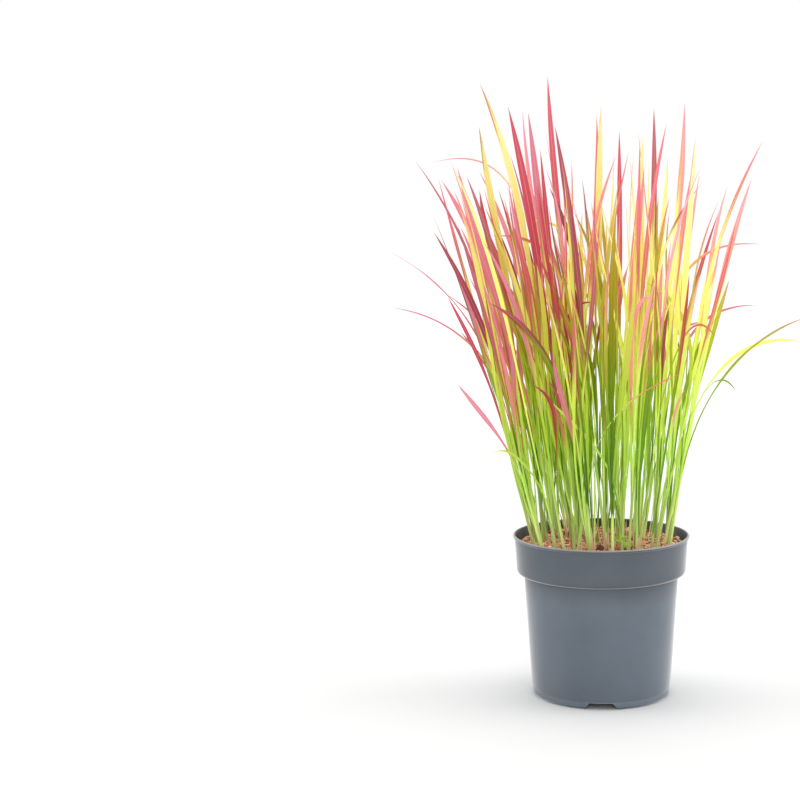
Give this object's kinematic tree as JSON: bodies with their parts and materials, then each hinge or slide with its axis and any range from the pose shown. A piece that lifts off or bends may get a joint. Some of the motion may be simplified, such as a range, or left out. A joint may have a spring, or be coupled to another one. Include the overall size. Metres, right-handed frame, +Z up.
{
  "type": "potted ornamental grass",
  "caption": "Upright clump of red and yellow blood grass leaves growing in bark soil in a round grey nursery pot.",
  "frame": {"origin": "on the floor under the middle of the pot", "axes": "+Z up, the picture looks along +Y with +X to the right"},
  "size_m": [0.452, 0.292, 0.663],
  "materials": {
    "pot_plastic": "satin moulded plastic",
    "bark_soil": "rough bark and fibre compost",
    "leaf_crimson": null,
    "leaf_pink": null,
    "leaf_orange": null,
    "leaf_gold": null,
    "leaf_lime": null
  },
  "bodies": {
    "root": {"pot": "pot_plastic", "soil": "bark_soil", "tiller_01": "leaf_gold", "tiller_02": "leaf_gold", "tiller_03": "leaf_orange", "tiller_04": "leaf_orange", "tiller_05": "leaf_pink", "tiller_06": "leaf_crimson", "tiller_07": "leaf_crimson", "tiller_08": "leaf_crimson", "tiller_09": "leaf_crimson", "tiller_10": "leaf_crimson", "tiller_11": "leaf_pink", "tiller_12": "leaf_crimson", "tiller_13": "leaf_pink", "tiller_14": "leaf_orange", "tiller_15": "leaf_pink", "tiller_16": "leaf_pink", "tiller_17": "leaf_crimson", "tiller_18": "leaf_pink", "tiller_19": "leaf_orange", "tiller_20": "leaf_pink", "tiller_21": "leaf_gold", "tiller_22": "leaf_pink", "tiller_23": "leaf_gold", "tiller_24": "leaf_orange", "tiller_25": "leaf_crimson", "tiller_26": "leaf_crimson", "tiller_27": "leaf_pink", "tiller_28": "leaf_orange", "tiller_29": "leaf_crimson", "tiller_30": "leaf_crimson", "tiller_31": "leaf_gold", "tiller_32": "leaf_pink", "tiller_33": "leaf_crimson", "tiller_34": "leaf_orange", "tiller_35": "leaf_crimson", "tiller_36": "leaf_orange", "tiller_37": "leaf_pink", "tiller_38": "leaf_orange", "tiller_39": "leaf_gold", "tiller_40": "leaf_orange", "tiller_41": "leaf_lime", "tiller_42": "leaf_orange", "tiller_43": "leaf_crimson", "tiller_44": "leaf_pink", "tiller_45": "leaf_crimson", "tiller_46": "leaf_lime", "tiller_47": "leaf_lime", "tiller_48": "leaf_crimson", "tiller_49": "leaf_pink", "tiller_50": "leaf_orange", "tiller_51": "leaf_gold", "tiller_52": "leaf_gold", "tiller_53": "leaf_gold", "tiller_54": "leaf_lime", "tiller_55": "leaf_gold", "tiller_56": "leaf_lime"}
  },
  "joints": []
}
